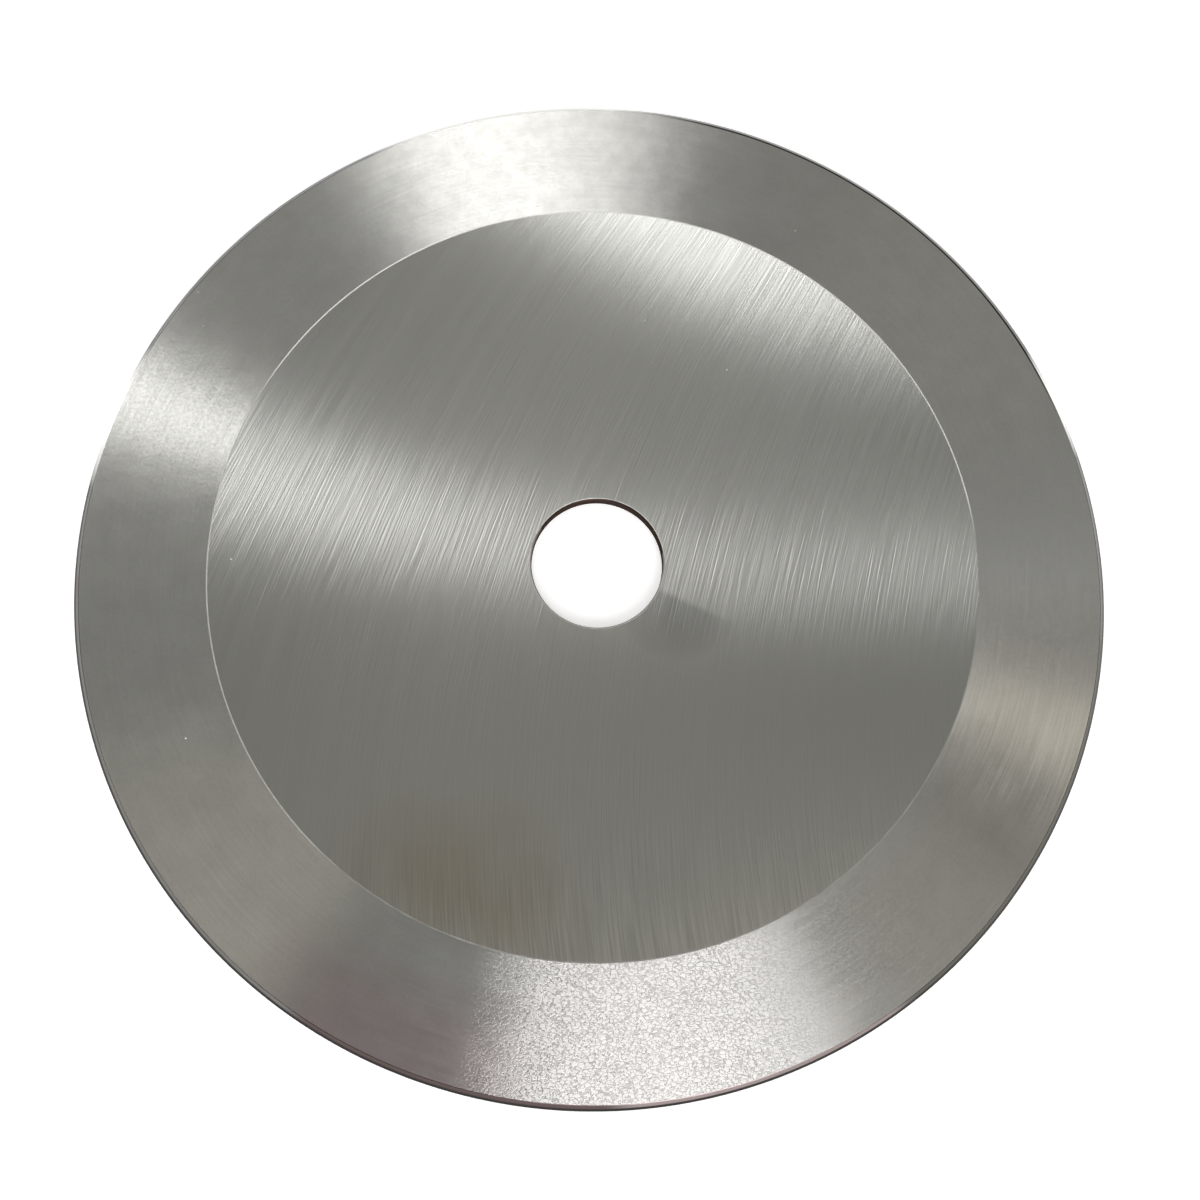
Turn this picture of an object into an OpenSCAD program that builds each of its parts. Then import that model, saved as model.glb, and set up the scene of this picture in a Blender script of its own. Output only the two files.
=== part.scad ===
// Circular slitter knife: a thin ground steel disc with a plain arbor bore.
// The back is flat. The front is ground back from a round flat to a wide, shallow bevel,
// which ends in a narrow, steep edge bevel and a thin land at the cutting edge.
// Millimetres, +Z up. The origin is on the bore axis at the back face, with the bevels upward.

/* [Blank] */
// Outside diameter over the cutting edge
outside_d = 200; // [150:1:300]
// Thickness between the back face and the front flat
thickness = 3; // [2.4:0.1:6]

/* [Bore] */
// Diameter of the arbor bore
bore_d = 25.4; // [16:0.1:50]
// Leg of the 45 degree break on both rims of the bore
bore_break = 0.3; // [0.1:0.05:0.6]

/* [Cutting edge] */
// Radial width of the wide, shallow bevel
wide_bevel_w = 24.4; // [10:0.2:40]
// Radial width of the narrow, steep edge bevel
edge_bevel_w = 1.2; // [0.4:0.1:2]
// Height of the narrow, steep edge bevel
edge_bevel_h = 1.2; // [0.4:0.1:1.6]
// Height of the plain land at the cutting edge
edge_land_h = 0.4; // [0.1:0.05:0.6]

/* [Hidden] */

outside_r = outside_d / 2;
bore_r = bore_d / 2;
bore_rim_r = bore_r + bore_break;

// The two bevels meet at this radius and height
bevel_meet_r = outside_r - edge_bevel_w;
bevel_meet_z = edge_land_h + edge_bevel_h;

// The wide bevel starts from the front flat at this radius
flat_r = bevel_meet_r - wide_bevel_w;

// Sides of the drawn circles
round_sides = 180;

// Half section, from the bore at the left to the cutting edge at the right
module knife_section() {
    polygon([
        [bore_r, bore_break],
        [bore_rim_r, 0],
        [outside_r, 0],
        [outside_r, edge_land_h],
        [bevel_meet_r, bevel_meet_z],
        [flat_r, thickness],
        [bore_rim_r, thickness],
        [bore_r, thickness - bore_break]
    ]);
}

module knife_disc() {
    color("#a6a59f")
        rotate_extrude($fn = round_sides)
            knife_section();
}

knife_disc();
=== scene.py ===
import math

import bpy
from mathutils import Matrix, Vector


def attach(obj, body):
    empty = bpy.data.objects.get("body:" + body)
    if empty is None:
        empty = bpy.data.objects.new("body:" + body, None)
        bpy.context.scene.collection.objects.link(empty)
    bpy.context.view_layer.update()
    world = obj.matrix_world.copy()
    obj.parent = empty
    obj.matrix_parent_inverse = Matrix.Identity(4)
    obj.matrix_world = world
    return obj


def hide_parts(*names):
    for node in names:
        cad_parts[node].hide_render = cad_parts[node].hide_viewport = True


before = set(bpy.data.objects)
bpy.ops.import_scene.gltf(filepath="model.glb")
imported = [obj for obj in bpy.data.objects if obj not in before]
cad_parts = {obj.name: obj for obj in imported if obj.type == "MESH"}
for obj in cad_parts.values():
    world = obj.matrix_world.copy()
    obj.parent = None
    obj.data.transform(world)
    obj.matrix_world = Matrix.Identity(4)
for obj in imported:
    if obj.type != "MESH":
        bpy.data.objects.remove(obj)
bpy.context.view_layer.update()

MM = 0.001
BODY = "root"
NODE = "knife_disc"


# Section of the knife, read from the CAD node

# Decimals of a metre to which the corners are rounded
CORNER_DIGITS = 6


def read_section(node):
    """Corner radii and heights of the turned section, in metres, from the CAD node's own vertices."""
    corners = set()
    for vertex in node.data.vertices:
        radius = math.hypot(vertex.co.x, vertex.co.y)
        corners.add((round(radius, CORNER_DIGITS), round(vertex.co.z, CORNER_DIGITS)))
    corners = sorted(corners)
    outside_r = corners[-1][0]
    thickness = max(z for _, z in corners)
    inner = [corner for corner in corners if corner[0] < outside_r]
    meet_r, meet_z = inner[-1]
    return {
        "bore_r": corners[0][0],
        "bore_rim_r": min(r for r, z in corners if z == 0),
        "flat_r": max(r for r, z in corners if z == thickness),
        "meet_r": meet_r,
        "meet_z": meet_z,
        "land_z": max(z for r, z in corners if r == outside_r),
        "outside_r": outside_r,
        "thickness": thickness,
    }


section = read_section(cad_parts[NODE])


# Shader graph helpers


class Graph:
    """Short forms for the nodes that the materials use. Arguments are numbers or sockets."""

    def __init__(self, tree):
        self.tree = tree
        self.tree.nodes.clear()

    def add(self, kind, **settings):
        node = self.tree.nodes.new(kind)
        for key, value in settings.items():
            setattr(node, key, value)
        return node

    def put(self, socket, value):
        if isinstance(value, bpy.types.NodeSocket):
            self.tree.links.new(value, socket)
        else:
            socket.default_value = value

    def math(self, operation, a, b=0.0, clamp=False):
        node = self.add("ShaderNodeMath", operation=operation, use_clamp=clamp)
        self.put(node.inputs[0], a)
        self.put(node.inputs[1], b)
        return node.outputs[0]

    def mad(self, value, factor, offset):
        """value * factor + offset."""
        node = self.add("ShaderNodeMath", operation="MULTIPLY_ADD")
        self.put(node.inputs[0], value)
        self.put(node.inputs[1], factor)
        self.put(node.inputs[2], offset)
        return node.outputs[0]

    def ramp(self, value, start, length):
        """Rises from 0 at start to 1 at start + length."""
        return self.math("DIVIDE", self.math("SUBTRACT", value, start), length, clamp=True)

    def vector(self, x, y, z=0.0):
        node = self.add("ShaderNodeCombineXYZ")
        for socket, value in zip(node.inputs, (x, y, z)):
            self.put(socket, value)
        return node.outputs[0]

    def noise(self, vector, detail=0.0):
        """Noise about zero, with features of about unit size."""
        node = self.add("ShaderNodeTexNoise", noise_dimensions="3D")
        self.put(node.inputs["Vector"], vector)
        node.inputs["Scale"].default_value = 1.0
        node.inputs["Detail"].default_value = detail
        return self.math("SUBTRACT", node.outputs["Fac"], 0.5)

    def pebbles(self, vector):
        """Distance from the border of the cell that the point is in."""
        node = self.add("ShaderNodeTexVoronoi", feature="DISTANCE_TO_EDGE")
        self.put(node.inputs["Vector"], vector)
        node.inputs["Scale"].default_value = 1.0
        return node.outputs["Distance"]

    def mix_color(self, factor, a, b, blend="MIX"):
        node = self.add("ShaderNodeMix", data_type="RGBA", clamp_factor=True, blend_type=blend)
        self.put(node.inputs["Factor"], factor)
        for socket, color in (("A", a), ("B", b)):
            self.put(node.inputs[socket], (*color, 1) if isinstance(color, tuple) else color)
        return node.outputs["Result"]


def new_material(name):
    material = bpy.data.materials.new(name)
    material.use_nodes = True
    return material, Graph(material.node_tree)


def steel_shader(graph, color, roughness, anisotropy=0.0, tangent=None, normal=None):
    shader = graph.add("ShaderNodeBsdfPrincipled")
    shader.inputs["Metallic"].default_value = 1.0
    shader.inputs["Anisotropic"].default_value = anisotropy
    graph.put(shader.inputs["Base Color"], color)
    graph.put(shader.inputs["Roughness"], roughness)
    if tangent is not None:
        graph.put(shader.inputs["Tangent"], tangent)
    if normal is not None:
        graph.put(shader.inputs["Normal"], normal)
    out = graph.add("ShaderNodeOutputMaterial")
    graph.put(out.inputs["Surface"], shader.outputs[0])
    return shader


def object_xy(graph):
    place = graph.add("ShaderNodeTexCoord").outputs["Object"]
    parts = graph.add("ShaderNodeSeparateXYZ")
    graph.put(parts.inputs[0], place)
    return parts.outputs[0], parts.outputs[1]


def sum_of_squares(graph, a, b):
    return graph.math("ADD", graph.math("MULTIPLY", a, a), graph.math("MULTIPLY", b, b))


def polar(graph, x, y):
    """Distance from the axis, and the direction outward from it."""
    radius = graph.math("SQRT", sum_of_squares(graph, x, y))
    return radius, graph.math("DIVIDE", x, radius), graph.math("DIVIDE", y, radius)


def bump(graph, height):
    """Normal of a relief whose height is in millimetres."""
    node = graph.add("ShaderNodeBump")
    node.inputs["Strength"].default_value = 1.0
    node.inputs["Distance"].default_value = MM
    graph.put(node.inputs["Height"], height)
    return node.outputs[0]


def weighted_sum(graph, *terms):
    """Sum of (factor, socket) pairs."""
    total = 0.0
    for factor, socket in terms:
        total = graph.mad(socket, factor, total)
    return total


def blend_of(graph, weights, patterns):
    """Sum of the named patterns, each times its weight."""
    return weighted_sum(graph, *((weight, patterns[name]) for name, weight in weights.items()))


def along_direction(graph, x, y, angle):
    """Distance of the point along a direction in the XY plane."""
    return weighted_sum(graph, (math.cos(angle), x), (math.sin(angle), y))


def turned(graph, x, y, turn):
    """Direction (x, y) turned by a small angle."""
    return graph.vector(
        graph.math("SUBTRACT", x, graph.math("MULTIPLY", y, turn)),
        graph.math("ADD", y, graph.math("MULTIPLY", x, turn)),
    )


def cells(graph, x, y, size, seed, detail):
    """Noise with cells of the given size in millimetres."""
    place = graph.vector(graph.math("DIVIDE", x, size * MM), graph.math("DIVIDE", y, size * MM), seed)
    return graph.noise(place, detail)


def toward(graph, out_x, out_y, centre, half_width, soft):
    """Mask of the directions within half_width of centre, seen from the axis; angles in degrees."""
    nearness = along_direction(graph, out_x, out_y, math.radians(centre))
    inner = math.cos(math.radians(half_width))
    outer = math.cos(math.radians(half_width + soft))
    return graph.ramp(nearness, outer, inner - outer)


def square_distance(graph, x, y, centre_x, centre_y):
    """Square of the distance from a point in millimetres."""
    across = graph.math("SUBTRACT", x, centre_x * MM)
    up = graph.math("SUBTRACT", y, centre_y * MM)
    return sum_of_squares(graph, across, up)


def soft_spot(graph, x, y, centre_x, centre_y, radius):
    """Mask that fades from 1 at the centre to 0 at the radius, in millimetres."""
    square = square_distance(graph, x, y, centre_x, centre_y)
    return graph.math("SUBTRACT", 1.0, graph.math("DIVIDE", square, (radius * MM) ** 2), clamp=True)


# Materials

# Colours of the bare metal, between which the tone of a face wanders
STEEL_DARK = (0.50, 0.501, 0.479)
STEEL_LIGHT = (0.62, 0.621, 0.595)
BEVEL_DARK = (0.54, 0.538, 0.516)
BEVEL_LIGHT = (0.67, 0.668, 0.641)
MID_TONE = 0.5

# Pale colour of specks of dust, and of the painted highlight on arcs of the burnished ring
DUST_AND_HIGHLIGHT = (0.9, 0.89, 0.86)

# Gloss of the ground faces
FULL_ANISOTROPY = 1.0
GROUND_ROUGHNESS = 0.288
BEVEL_ROUGHNESS = 0.308
LEAST_ROUGHNESS = 0.277


def dust_mask(graph, x, y, specks):
    """Mask of small specks at (x, y, radius) in millimetres."""
    total = 0.0
    for speck_x, speck_y, speck_r in specks:
        square = square_distance(graph, x, y, speck_x, speck_y)
        total = graph.math("ADD", total, graph.math("LESS_THAN", square, (speck_r * MM) ** 2))
    return total


def dusted(graph, shader, color, x, y, specks):
    """Lays pale specks of dust on a shader of bare metal."""
    mask = dust_mask(graph, x, y, specks)
    graph.put(shader.inputs["Base Color"], graph.mix_color(mask, color, DUST_AND_HIGHLIGHT))
    graph.put(shader.inputs["Metallic"], graph.math("SUBTRACT", 1.0, mask))


# Grinding lines of the flat as (width, length, seed, steepening), with sizes in millimetres
FINE_LINES = (0.41, 12, 0.0, 1.4)
CROSSING_LINES = (0.46, 16, 4.1, 1.4)
BROAD_LINES = (2.4, 40, 7.3, 0.0)
HAIRLINES = (0.28, 11, 9.2, 0.0)
CROSSING_SKEW = 0.03

# What the lines do: turn of the gloss in radians, share in the tone, height in millimetres
FLAT_TURN = {"fine": math.radians(3), "crossing": math.radians(3), "broad": math.radians(2)}
FLAT_TONE = {"fine": 0.25, "crossing": 0.2, "broad": 0.3}
FLAT_RELIEF = {"fine": 0.068, "crossing": 0.064}
BROAD_GLOSS = 0.03

# Zones of the flat as (start, length) in millimetres: up Y, down Y, down Y, and along the shoulder
UPPER_ZONE = (15, 25)
LOWER_ZONE = (15, 15)
FOOT_ZONE = (48, 20)
SHOULDER_ZONE = (42, 20)
SHOULDER_ANGLE = math.radians(57)

# Share by which the lines are calmer in the upper and lower zones
UPPER_CALM = 0.40
LOWER_CALM = 0.60

# Gains of the lines at the foot, and of the hairlines at the foot and the shoulder
FOOT_TONE = 1.5
FOOT_HAIRLINES = 2.0
SHOULDER_HAIRLINES = 2.4

# Soft edge of the painted shade wedge beside the bore, in millimetres
WEDGE_SOFT = 1.2

# Patchiness of the stains on the flat: cells as (size, seed, detail), contrast and mean level
STAIN_CELLS = (14, 0.0, 2.0)
STAIN_CONTRAST = 1.4
STAIN_LEVEL = 0.8


def wedge_mask(graph, x, y, line_x, line_y, line_angle, reach):
    """Side of a line away from its normal, fading out with the distance from a point on the line."""
    start = line_x * math.cos(line_angle) + line_y * math.sin(line_angle)
    drop = weighted_sum(graph, (-math.cos(line_angle), x), (-math.sin(line_angle), y))
    below = graph.ramp(drop, -start * MM, WEDGE_SOFT * MM)
    return graph.math("MULTIPLY", below, soft_spot(graph, x, y, line_x, line_y, reach))


def flat_material(name, feed_angle, lean, bend, specks=(), tint_patches=(), wedge=None):
    """Surface-ground face: the wheel leaves shallow curves side by side along the feed direction.

    lean is the slope of a curve where it crosses the feed axis, bend its change of slope per metre.
    """
    material, g = new_material(name)
    x, y = object_xy(g)
    down = g.math("MULTIPLY", y, -1.0)
    cos = math.cos(feed_angle)
    sin = math.sin(feed_angle)
    ahead = weighted_sum(g, (cos, x), (sin, y))
    along = weighted_sum(g, (cos, y), (-sin, x))
    slope = g.mad(along, bend, lean)
    across = g.math("SUBTRACT", ahead, g.math("MULTIPLY", along, g.mad(along, bend / 2, lean)))
    skewed = g.mad(along, CROSSING_SKEW, across)

    def lines(place, width, length, seed, steepen):
        """Noise drawn out along the curves; steepen makes one flank of each groove steeper."""
        start = g.math("DIVIDE", place, width * MM)
        end = g.math("DIVIDE", along, length * MM)
        value = g.noise(g.vector(start, end, seed))
        if steepen:
            value = g.noise(g.vector(g.mad(value, steepen, start), end, seed))
        return value

    patterns = {
        "fine": lines(across, *FINE_LINES),
        "crossing": lines(skewed, *CROSSING_LINES),
        "broad": lines(across, *BROAD_LINES),
    }
    hairlines = lines(across, *HAIRLINES)
    turn = blend_of(g, FLAT_TURN, patterns)
    tangent = turned(g, g.mad(slope, sin, cos), g.mad(slope, -cos, sin), turn)

    upper = g.ramp(y, UPPER_ZONE[0] * MM, UPPER_ZONE[1] * MM)
    lower = g.ramp(down, LOWER_ZONE[0] * MM, LOWER_ZONE[1] * MM)
    foot_depth = g.math("SUBTRACT", down, FOOT_ZONE[0] * MM)
    foot = g.math("MAXIMUM", g.math("DIVIDE", foot_depth, FOOT_ZONE[1] * MM), 0.0)
    outward = along_direction(g, x, y, SHOULDER_ANGLE)
    shoulder = g.ramp(outward, SHOULDER_ZONE[0] * MM, SHOULDER_ZONE[1] * MM)

    tone_gain = g.mad(foot, FOOT_TONE, g.mad(lower, -LOWER_CALM, 1.0))
    tone = g.math("MULTIPLY", blend_of(g, FLAT_TONE, patterns), tone_gain)
    hair_gain = g.mad(foot, FOOT_HAIRLINES, g.math("MULTIPLY", shoulder, SHOULDER_HAIRLINES))
    tone = g.mad(hairlines, hair_gain, tone)
    color = g.mix_color(g.math("ADD", tone, MID_TONE), STEEL_DARK, STEEL_LIGHT)
    # Painted shade: a darker wedge beside the bore
    if wedge is not None:
        *wedge_place, painted_shade_color = wedge
        color = g.mix_color(wedge_mask(g, x, y, *wedge_place), color, painted_shade_color)
    if tint_patches:
        patchy = g.mad(cells(g, x, y, *STAIN_CELLS), STAIN_CONTRAST, STAIN_LEVEL)
        for stain_x, stain_y, stain_r, tint in tint_patches:
            mask = g.math("MULTIPLY", soft_spot(g, x, y, stain_x, stain_y, stain_r), patchy)
            color = g.mix_color(mask, color, tint, "MULTIPLY")

    roughness = g.mad(patterns["broad"], BROAD_GLOSS, GROUND_ROUGHNESS)
    roughness = g.math("MAXIMUM", roughness, LEAST_ROUGHNESS)
    relief_gain = g.mad(lower, -LOWER_CALM, g.mad(upper, -UPPER_CALM, 1.0))
    relief = g.math("MULTIPLY", blend_of(g, FLAT_RELIEF, patterns), relief_gain)
    shader = steel_shader(g, color, roughness, FULL_ANISOTROPY, tangent, bump(g, relief))
    if specks:
        dusted(g, shader, color, x, y, specks)
    return material


# Rings of the bevel as (width in millimetres, cells round the axis, seed), and their detail
HAIR_RINGS = (0.3, 7.0, 0.0)
BAND_RINGS = (0.9, 5.0, 3.7)
RING_DETAIL = 1.0

# Cells of noise as (size in millimetres, seed, detail)
CLOUD_CELLS = (6, 1.9, 3.0)
SPECKLE_CELLS = (0.6, 5.2, 1.0)
HAZE_CELLS = (3, 6.7, 3.0)
CRINKLE_X_CELLS = (0.45, 3.1, 0.0)
CRINKLE_Y_CELLS = (0.45, 6.1, 0.0)

# Fans of the bevel as (centre, half width, soft edge), in degrees about the axis
GRAIN_FAN = (275, 12, 10)
HAZE_FAN = (98, 18, 10)
CLEAR_FAN = (339, 6, 7)
ARRIS_FAN = (50, 26, 6)

# Pebbled grain: width and height of a pebble in millimetres, crinkle of its border, sharpness of the veins
PEBBLE_W = 1.0
PEBBLE_H = 0.62
CRINKLE = 1.1
VEIN_SHARPNESS = 8.0
VEIN_DARK = (0.40, 0.396, 0.38)

# Share of the rings that the grain hides
RINGS_HIDDEN = 0.9

# Painted dark reflection along the outer arris of the bevel: width and soft edge in millimetres
ARRIS_W = 0.4
ARRIS_SOFT = 0.1
ARRIS_DARK_REFLECTION = (0.05, 0.05, 0.045)

# Width over which a painted reflection tint fades in outward, in millimetres
TINT_FADE = 10

# What the patterns do: turn of the gloss in radians, share in tone and roughness, height in millimetres
BEVEL_TURN = {"hair": math.radians(9), "cloud": math.radians(4)}
BEVEL_TONE = {"hair": 0.4, "clear": 1.6, "cloud": 0.8, "speckle": 0.6, "haze": 2.0, "grain": 0.4}
BEVEL_GLOSS = {"bands": 0.03, "speckle": 0.16, "cloud": 0.06}
BEVEL_RELIEF = {
    "hair": 0.008, "clear": 0.012, "bands": 0.03, "cloud": 0.02, "speckle": 0.004, "veins": -0.017,
}


def bevel_material(name, specks, tint_patches):
    """Bevel ground on a turning work-head: rings round the axis, a soft cloud, and a fan of pebbled grain."""
    material, g = new_material(name)
    x, y = object_xy(g)
    radius, out_x, out_y = polar(g, x, y)

    def rings(width, turns, seed):
        around_x = g.math("MULTIPLY", out_x, turns)
        around_y = g.mad(out_y, turns, seed)
        return g.noise(g.vector(g.math("DIVIDE", radius, width * MM), around_x, around_y), RING_DETAIL)

    def fan(place):
        return toward(g, out_x, out_y, *place)

    grain = fan(GRAIN_FAN)
    ringed = g.mad(grain, -RINGS_HIDDEN, 1.0)
    hair = g.math("MULTIPLY", rings(*HAIR_RINGS), ringed)
    pebble_x = g.mad(cells(g, x, y, *CRINKLE_X_CELLS), CRINKLE, g.math("DIVIDE", x, PEBBLE_W * MM))
    pebble_y = g.mad(cells(g, x, y, *CRINKLE_Y_CELLS), CRINKLE, g.math("DIVIDE", y, PEBBLE_H * MM))
    pebble = g.math("MULTIPLY", g.pebbles(g.vector(pebble_x, pebble_y)), VEIN_SHARPNESS, clamp=True)
    patterns = {
        "grain": grain,
        "hair": hair,
        "bands": g.math("MULTIPLY", rings(*BAND_RINGS), ringed),
        "clear": g.math("MULTIPLY", hair, fan(CLEAR_FAN)),
        "cloud": cells(g, x, y, *CLOUD_CELLS),
        "speckle": cells(g, x, y, *SPECKLE_CELLS),
        "haze": g.math("MULTIPLY", cells(g, x, y, *HAZE_CELLS), fan(HAZE_FAN)),
        "veins": g.math("MULTIPLY", g.math("SUBTRACT", 1.0, pebble), grain),
    }
    tangent = turned(g, out_x, out_y, blend_of(g, BEVEL_TURN, patterns))

    tone = blend_of(g, BEVEL_TONE, patterns)
    color = g.mix_color(g.math("ADD", tone, MID_TONE), BEVEL_DARK, BEVEL_LIGHT)
    # Painted reflection: faint coloured tints in fans of the bevel
    for centre, half_width, soft, start_r, tint in tint_patches:
        outward = g.ramp(radius, start_r * MM, TINT_FADE * MM)
        mask = g.math("MULTIPLY", fan((centre, half_width, soft)), outward)
        color = g.mix_color(mask, color, tint, "MULTIPLY")
    color = g.mix_color(patterns["veins"], color, VEIN_DARK)
    # Painted dark reflection along the outer arris, within the arris fan
    arris = g.ramp(radius, section["meet_r"] - ARRIS_W * MM, ARRIS_SOFT * MM)
    color = g.mix_color(g.math("MULTIPLY", arris, fan(ARRIS_FAN)), color, ARRIS_DARK_REFLECTION)

    roughness = g.math("ADD", blend_of(g, BEVEL_GLOSS, patterns), BEVEL_ROUGHNESS)
    roughness = g.math("MAXIMUM", roughness, LEAST_ROUGHNESS)
    relief = blend_of(g, BEVEL_RELIEF, patterns)
    shader = steel_shader(g, color, roughness, FULL_ANISOTROPY, tangent, bump(g, relief))
    dusted(g, shader, color, x, y, specks)
    return material


# Contrast of the slow change of tone on the narrow faces
NARROW_CONTRAST = 1.6

# Burnished ring: cells of its tone, change and mean of its roughness, soft end of an arc of painted highlight
# in degrees
RING_CELLS = (3, 0.0, 2.0)
RING_GLOSS = 0.15
RING_ROUGHNESS = 0.37
HIGHLIGHT_SOFT = 6.0

# Share of the metal look that a full arc of painted highlight loses
HIGHLIGHT_MATT = 0.7


def ring_material(name, arcs):
    """Burnished line at the rims of the flat; on arcs it carries a painted highlight, pale and partly matt.
    """
    material, g = new_material(name)
    x, y = object_xy(g)
    _, out_x, out_y = polar(g, x, y)
    # Painted highlight: arcs of the ring made pale and partly matt
    painted_highlight = 0.0
    for centre, half_width, share in arcs:
        arc = toward(g, out_x, out_y, centre, half_width, HIGHLIGHT_SOFT)
        painted_highlight = g.math("MAXIMUM", painted_highlight, g.math("MULTIPLY", arc, share))
    tone = cells(g, x, y, *RING_CELLS)
    color = g.mix_color(g.mad(tone, NARROW_CONTRAST, MID_TONE), STEEL_DARK, STEEL_LIGHT)
    shader = steel_shader(g, g.mix_color(painted_highlight, color, DUST_AND_HIGHLIGHT), g.mad(tone, RING_GLOSS, RING_ROUGHNESS))
    g.put(shader.inputs["Metallic"], g.mad(painted_highlight, -HIGHLIGHT_MATT, 1.0))
    return material


# Cells of the tone of the edge bevel, the bore wall and its breaks
EDGE_CELLS = (12, 0.0, 3.0)

# Soft ends of the arcs in degrees, and soft edge of the outer line in millimetres
ARC_SOFT = 3.0
GLINT_ARC_SOFT = 6.0
LINE_SOFT = 0.15


def edge_material(name, dark, light, low, high, arcs=(), line_r=None, line_color=None, glint_arcs=()):
    """Finely finished edge, whose tone changes slowly from dark to light and roughness from low to high.

    arcs are (centre, half width, colour) stretches of painted reflection and shade, in degrees about the
    axis. Outside line_r the edge has line_color, a painted dark reflection, except on the arcs of painted
    glints, which are tinted over it.
    """
    material, g = new_material(name)
    x, y = object_xy(g)
    radius, out_x, out_y = polar(g, x, y)
    tone = cells(g, x, y, *EDGE_CELLS)
    color = g.mix_color(g.mad(tone, NARROW_CONTRAST, MID_TONE), dark, light)
    # Painted reflection and shade: arcs with a tone of their own
    for centre, half_width, arc_color in arcs:
        color = g.mix_color(toward(g, out_x, out_y, centre, half_width, ARC_SOFT), color, arc_color)
    # Painted dark reflection: a dark line outside line_r
    if line_r is not None:
        color = g.mix_color(g.ramp(radius, line_r, LINE_SOFT * MM), color, line_color)
    # Painted glints: pale arcs tinted over the dark line
    for centre, half_width, arc_color in glint_arcs:
        color = g.mix_color(toward(g, out_x, out_y, centre, half_width, GLINT_ARC_SOFT), color, arc_color)
    steel_shader(g, color, g.mad(tone, high - low, (low + high) / 2))
    return material


WALL_ROUGHNESS = 0.6


def wall_material(name, dark, light):
    """Wall of the bore: dull brown with oxide, without gloss."""
    material, g = new_material(name)
    x, y = object_xy(g)
    tone = g.mad(cells(g, x, y, *EDGE_CELLS), NARROW_CONTRAST, MID_TONE)
    shader = steel_shader(g, g.mix_color(tone, dark, light), WALL_ROUGHNESS)
    shader.inputs["Metallic"].default_value = 0.0
    shader.inputs["Specular IOR Level"].default_value = 0.0
    return material


# Mesh of the knife

SEGMENTS = 720
CORNER_STEPS = 4

# Lengths that the rounded corners take off both sides, in millimetres
BORE_EASE = 0.05
RIM_EASE = 0.06
RING_EASE = 0.13
ARRIS_EASE = 0.08
LAND_EASE = 0.06
BACK_EASE = 0.05

# Rows of faces across the wide faces; the narrow ones have one
FLAT_ROWS = 8
BEVEL_ROWS = 4
BACK_ROWS = 12

# Places in the knife's list of materials
FLAT, BEVEL, EDGE, BORE, BACK, LINE, BREAK = range(7)


def eased_corner(before, corner, after, setback, steps):
    """Arc that rounds a corner, as (point, normal) pairs; setback is the length taken off both sides."""
    a = (before - corner).normalized()
    b = (after - corner).normalized()
    half = a.angle(b) / 2
    radius = setback * math.tan(half)
    centre = corner + (a + b).normalized() * (setback / math.cos(half))
    start = corner + a * setback - centre
    sweep = start.angle_signed(corner + b * setback - centre)
    pairs = []
    for i in range(steps + 1):
        turn = Matrix.Rotation(-sweep * i / steps, 2)
        normal = (turn @ start).normalized()
        pairs.append((centre + normal * radius, normal))
    return pairs


def knife_profile(s):
    """Closed section as a list of (point, normal, material index of the strip that follows)."""
    z = s["thickness"]
    rim_break = s["bore_rim_r"] - s["bore_r"]
    # Corner, its setback and material, then the rows and material of the face that follows it
    sides = [
        ((s["bore_r"], rim_break), BORE_EASE, BORE, 1, BORE),
        ((s["bore_r"], z - rim_break), BORE_EASE, BORE, 1, BREAK),
        ((s["bore_rim_r"], z), RIM_EASE, LINE, FLAT_ROWS, FLAT),
        ((s["flat_r"], z), RING_EASE, LINE, BEVEL_ROWS, BEVEL),
        ((s["meet_r"], s["meet_z"]), ARRIS_EASE, EDGE, 1, EDGE),
        ((s["outside_r"], s["land_z"]), LAND_EASE, EDGE, 1, EDGE),
        ((s["outside_r"], 0.0), BACK_EASE, EDGE, BACK_ROWS, BACK),
        ((s["bore_rim_r"], 0.0), RIM_EASE, BREAK, 1, BREAK),
    ]
    points = [Vector(side[0]) for side in sides]
    count = len(sides)
    arcs = []
    for i, (_, setback, _, _, _) in enumerate(sides):
        after = points[(i + 1) % count]
        arcs.append(eased_corner(points[i - 1], points[i], after, setback * MM, CORNER_STEPS))
    profile = []
    for i, (_, _, arc_material, rows, face_material) in enumerate(sides):
        for point, normal in arcs[i][:-1]:
            profile.append((point, normal, arc_material))
        start, normal = arcs[i][-1]
        end = arcs[(i + 1) % count][0][0]
        for k in range(rows):
            profile.append((start.lerp(end, k / rows), normal, face_material))
    return profile


def turned_mesh(name, profile, segments):
    """Revolves the section about Z, with exact normals."""
    vertices = []
    normals = []
    faces = []
    indices = []
    rows = len(profile)
    for j in range(segments):
        angle = 2 * math.pi * j / segments
        cos = math.cos(angle)
        sin = math.sin(angle)
        for point, normal, _ in profile:
            vertices.append((point.x * cos, point.x * sin, point.y))
            normals.append((normal.x * cos, normal.x * sin, normal.y))
    for j in range(segments):
        here = j * rows
        there = (j + 1) % segments * rows
        for i in range(rows):
            k = (i + 1) % rows
            faces.append((here + i, here + k, there + k, there + i))
            indices.append(profile[i][2])
    mesh = bpy.data.meshes.new(name)
    mesh.from_pydata(vertices, [], faces)
    mesh.polygons.foreach_set("material_index", indices)
    mesh.polygons.foreach_set("use_smooth", [True] * len(faces))
    mesh.normals_split_custom_set_from_vertices(normals)
    mesh.update()
    return mesh


# Finish of the knife

# Feed direction, lean and bend of the grinding lines
FRONT_LINES = (math.radians(8.1), 0.467, 6.38)
BACK_LINES = (math.radians(-5), 0.25, 5.0)

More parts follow.
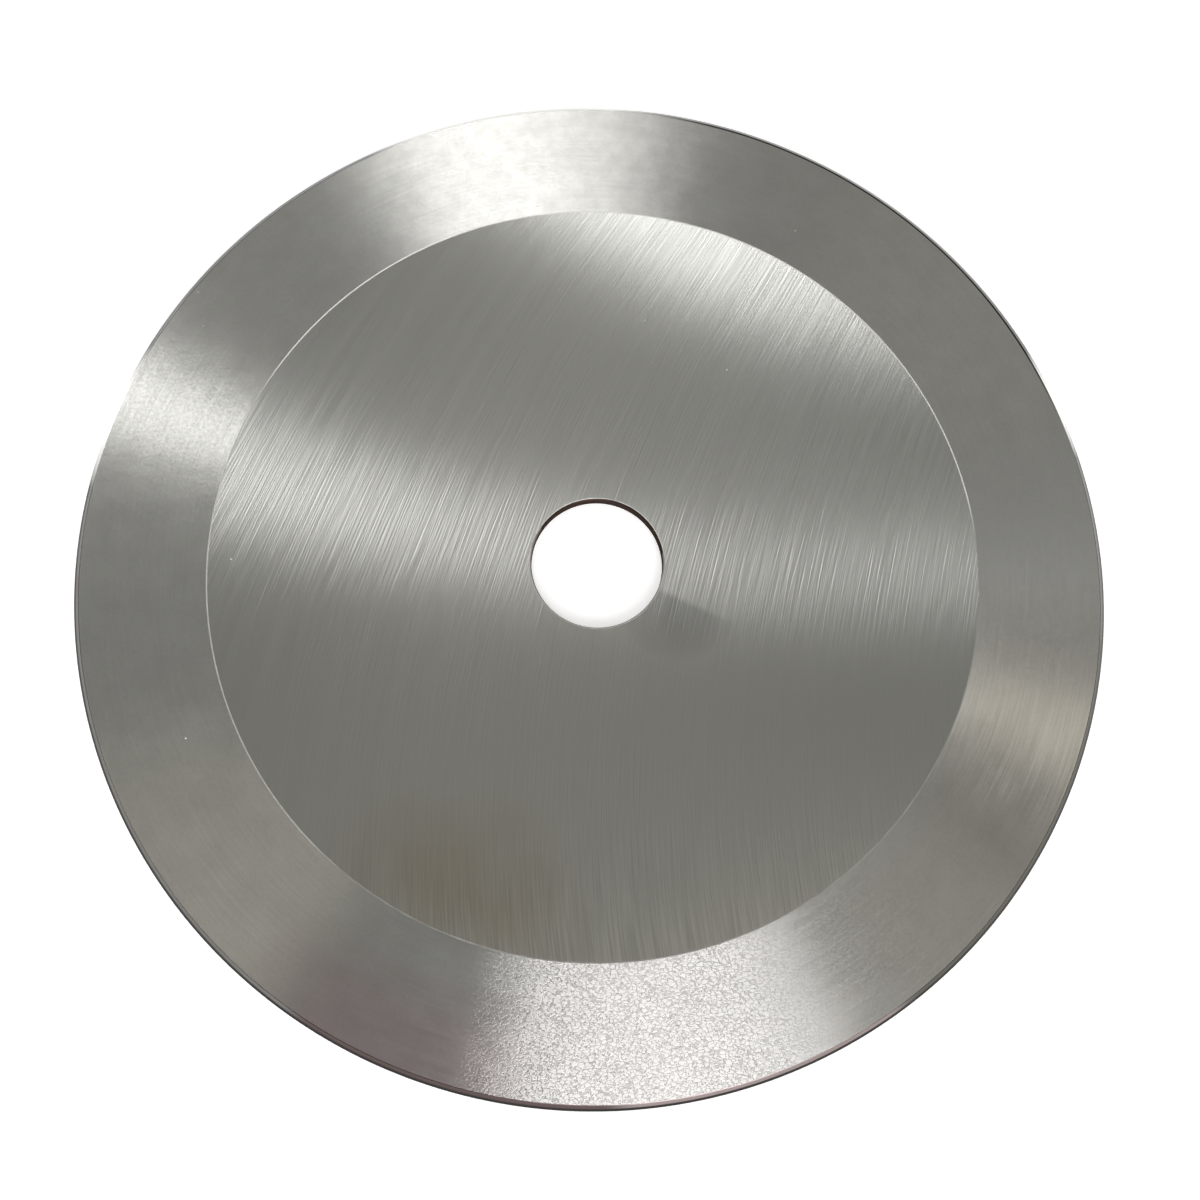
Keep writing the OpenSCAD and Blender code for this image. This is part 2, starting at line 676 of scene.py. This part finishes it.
# Specks of dust as (x, y, radius), in millimetres
FLAT_SPECKS = ((-69.9, 0.6, 0.15), (26.3, 39.9, 0.13), (10.0, 50.5, 0.11))
BEVEL_SPECKS = ((-76.5, -33.5, 0.16), (-79.8, 56.4, 0.15), (-78.3, 48.9, 0.12), (41.5, 70.9, 0.12))

# Faint stains on the flat as (x, y, radius, tint), in millimetres
FLAT_STAINS = (
    (-36, -59, 17, (0.945, 0.892, 0.825)),
    (-21, -58, 16, (0.945, 0.892, 0.825)),
    (-14, -67, 13, (0.95, 0.91, 0.86)),
)

# Faint painted reflection tints on the bevel as (centre, half width, soft edge, inner radius, tint), in
# degrees and millimetres
BEVEL_REFLECTION_TINTS = (
    (246, 6, 12, 80, (0.96, 0.846, 0.878)),
    (326, 18, 14, 70, (0.99, 0.958, 0.925)),
)

# Painted shade in a wedge beside the bore, darker than the flat: point on its upper side, angle of that
# side's normal, reach and colour
BORE_SHADE_WEDGE = (15.5, -6.4, math.radians(65), 13, (0.38, 0.38, 0.363))

# Edge bevel: dark and light colour, low and high roughness; the colours, far darker than bare steel, are a
# painted dark reflection
EDGE_FINISH = ((0.125, 0.123, 0.115), (0.165, 0.162, 0.153), 0.14, 0.26)

# Arcs of the edge bevel with a painted reflection tone, as (centre, half width, colour), in degrees
EDGE_REFLECTION_ARCS = (
    (254, 16, (0.095, 0.07, 0.068)),
    (288, 14, (0.27, 0.225, 0.22)),
    (328, 22, (0.09, 0.088, 0.075)),
    (131, 14, (0.06, 0.06, 0.055)),
    (52, 28, (0.02, 0.02, 0.018)),
)
# Painted glints: pale arcs of the edge bevel, as (centre, half width, colour), in degrees
EDGE_GLINT_ARCS = (
    (100, 12, (0.7, 0.7, 0.68)),
    (162, 3, (0.85, 0.85, 0.83)),
    (20, 1, (0.85, 0.85, 0.83)),
)

# Painted dark reflection: a dark line round the outer side of the edge bevel
EDGE_DARK_REFLECTION_COLOR = (0.025, 0.023, 0.022)
EDGE_LINE_W = 0.6 * MM

# Bore wall: dark and light colour
WALL_FINISH = ((0.035, 0.024, 0.019), (0.055, 0.039, 0.032))

# Breaks of the bore: dark and light colour, low and high roughness
BREAK_FINISH = ((0.28, 0.25, 0.235), (0.36, 0.33, 0.31), 0.25, 0.4)

# Arc of the breaks with painted shade, brown like the wall, as (centre, half width, colour), in degrees
BREAK_SHADE_ARCS = ((78, 68, (0.035, 0.025, 0.02)),)

# Arcs of the burnished lines with a painted highlight, pale and partly matt, as (centre, half width, share),
# in degrees
RING_HIGHLIGHT_ARCS = ((40, 30, 0.9), (131, 14, 0.8), (197, 28, 0.4))


def make_knife():
    mesh = turned_mesh("ground_disc", knife_profile(section), SEGMENTS)
    edge_line_r = section["outside_r"] - EDGE_LINE_W
    materials = {
        FLAT: flat_material("front_flat", *FRONT_LINES, FLAT_SPECKS, FLAT_STAINS, BORE_SHADE_WEDGE),
        BEVEL: bevel_material("wide_bevel", BEVEL_SPECKS, BEVEL_REFLECTION_TINTS),
        EDGE: edge_material(
            "edge_bevel", *EDGE_FINISH, EDGE_REFLECTION_ARCS, edge_line_r, EDGE_DARK_REFLECTION_COLOR, EDGE_GLINT_ARCS,
        ),
        BORE: wall_material("bore_wall", *WALL_FINISH),
        BACK: flat_material("back_face", *BACK_LINES),
        LINE: ring_material("edge_line", RING_HIGHLIGHT_ARCS),
        BREAK: edge_material("bore_break", *BREAK_FINISH, BREAK_SHADE_ARCS),
    }
    for index in sorted(materials):
        mesh.materials.append(materials[index])
    knife = bpy.data.objects.new("ground_disc", mesh)
    bpy.context.scene.collection.objects.link(knife)
    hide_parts(NODE)
    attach(knife, BODY)
    return knife


# Stage, light and camera

# Floor: half size in metres and colour
FLOOR_HALF = 30.0
FLOOR_COLOR = (0.8, 0.8, 0.8, 1)

# Glow of the floor as cameras and mirrors see it, and its gain from 1 m to 10 m off the axis
FLOOR_GLOW = 0.52
FAR_GLOW = 0.2
FAR_START = 1.0
FAR_LENGTH = 9.0

# Surround: strength overhead, gain at the horizon, gain and falloff of the pale sweep, tint
SKY_TOP = 0.25
HORIZON_GAIN = 0.11
SWEEP_GAIN = 0.62
SWEEP_FALLOFF = 8.0
SKY_TINT = (1.0, 0.995, 0.95)

# Distance of the lights from the knife, in metres
LIGHT_DISTANCE = 6.0
NEUTRAL = (1.0, 1.0, 1.0)

# Lights as name, azimuth, elevation, half width, half height, roll, radiance, tint.
# Angles are in degrees, half sizes are over the distance.
LIGHTS = (
    ("top_light", 96.4, 49.6, 0.176, 0.080, -44.7, 6.1, NEUTRAL),
    ("left_light", 144.2, 34.1, 0.050, 0.650, 12.2, 2.7, NEUTRAL),
    ("front_light", 280.9, 30.6, 0.313, 0.559, -7.6, 4.35, (1.0, 0.97, 0.99)),
    ("right_light", 359.8, 47.5, 0.029, 0.139, 6.5, 3.4, (1.0, 0.93, 0.80)),
    ("right_fill", 50.6, 69.8, 0.020, 0.485, -57.7, 0.71, NEUTRAL),
    ("low_light", 202.2, 31.0, 0.420, 0.057, 50.1, 3.5, (1.0, 0.92, 0.76)),
    ("front_fill", 322.0, 38.0, 0.20, 0.30, 0.0, 0.42, NEUTRAL),
)

# Camera: place in millimetres from the centre of the front flat, directions, lens and clipping
CAMERA_EYE = (-9.25, -61.2, 239.2)
CAMERA_FORWARD = (0.03956, 0.21934, -0.9749)
CAMERA_UP = (0, 0.97561, 0.2195)
CAMERA_SENSOR_W = 36.0
CAMERA_LENS = 38.42
CAMERA_CLIP = (0.01, 100.0)


def placed(origin, x_axis, y_axis, z_axis):
    """Matrix with the given origin and axes."""
    return Matrix.Translation(origin) @ Matrix((x_axis, y_axis, z_axis)).transposed().to_4x4()


def make_floor():
    mesh = bpy.data.meshes.new("floor")
    h = FLOOR_HALF
    mesh.from_pydata([(-h, -h, 0), (h, -h, 0), (h, h, 0), (-h, h, 0)], [], [(0, 1, 2, 3)])
    floor = bpy.data.objects.new("floor", mesh)
    bpy.context.scene.collection.objects.link(floor)
    material, g = new_material("floor")
    diffuse = g.add("ShaderNodeBsdfDiffuse")
    diffuse.inputs["Color"].default_value = FLOOR_COLOR
    path = g.add("ShaderNodeLightPath")
    seen = g.math("ADD", path.outputs["Is Camera Ray"], path.outputs["Is Glossy Ray"])
    seen = g.math("ADD", seen, path.outputs["Is Transmission Ray"], clamp=True)
    x, y = object_xy(g)
    distance, _, _ = polar(g, x, y)
    far = g.ramp(distance, FAR_START, FAR_LENGTH)
    glow = g.add("ShaderNodeEmission")
    g.put(glow.inputs["Strength"], g.math("MULTIPLY", seen, g.mad(far, FAR_GLOW, FLOOR_GLOW)))
    both = g.add("ShaderNodeAddShader")
    g.put(both.inputs[0], diffuse.outputs[0])
    g.put(both.inputs[1], glow.outputs[0])
    out = g.add("ShaderNodeOutputMaterial")
    g.put(out.inputs["Surface"], both.outputs[0])
    mesh.materials.append(material)


def make_world():
    """Even surround, a little lighter toward the horizon, with a pale sweep close above the floor."""
    world = bpy.data.worlds.new("surround")
    bpy.context.scene.world = world
    world.use_nodes = True
    g = Graph(world.node_tree)
    parts = g.add("ShaderNodeSeparateXYZ")
    g.put(parts.inputs[0], g.add("ShaderNodeTexCoord").outputs["Generated"])
    lowness = g.math("SUBTRACT", 1.0, g.math("MAXIMUM", parts.outputs[2], 0.0))
    level = g.mad(lowness, HORIZON_GAIN, SKY_TOP)
    level = g.mad(g.math("POWER", lowness, SWEEP_FALLOFF), SWEEP_GAIN, level)
    sky = g.add("ShaderNodeBackground")
    sky.inputs["Color"].default_value = (*SKY_TINT, 1)
    g.put(sky.inputs["Strength"], level)
    out = g.add("ShaderNodeOutputWorld")
    g.put(out.inputs["Surface"], sky.outputs[0])


def make_light(name, azimuth, elevation, half_w, half_h, roll, radiance, tint):
    """Rectangular soft light facing the knife."""
    az, el, turn = (math.radians(angle) for angle in (azimuth, elevation, roll))
    out = Vector((math.cos(el) * math.cos(az), math.cos(el) * math.sin(az), math.sin(el)))
    side = Vector((-math.sin(az), math.cos(az), 0))
    up = out.cross(side)
    wide = side * math.cos(turn) + up * math.sin(turn)
    high = up * math.cos(turn) - side * math.sin(turn)
    light = bpy.data.lights.new(name, "AREA")
    light.shape = "RECTANGLE"
    light.size = 2 * half_w * LIGHT_DISTANCE
    light.size_y = 2 * half_h * LIGHT_DISTANCE
    light.energy = radiance * math.pi * light.size * light.size_y
    light.color = tint
    lamp = bpy.data.objects.new(name, light)
    lamp.matrix_world = placed(out * LIGHT_DISTANCE, wide, high, out)
    bpy.context.scene.collection.objects.link(lamp)


def make_camera():
    top = Vector((0, 0, section["thickness"]))
    forward = Vector(CAMERA_FORWARD).normalized()
    up = Vector(CAMERA_UP)
    right = forward.cross(up).normalized()
    data = bpy.data.cameras.new("camera")
    data.sensor_width = CAMERA_SENSOR_W
    data.lens = CAMERA_LENS
    data.clip_start, data.clip_end = CAMERA_CLIP
    camera = bpy.data.objects.new("camera", data)
    camera.matrix_world = placed(top + Vector(CAMERA_EYE) * MM, right, up, -forward)
    bpy.context.scene.collection.objects.link(camera)
    bpy.context.scene.camera = camera


make_knife()
make_floor()
make_world()
for light in LIGHTS:
    make_light(*light)
make_camera()
bpy.context.scene.view_settings.view_transform = "Standard"
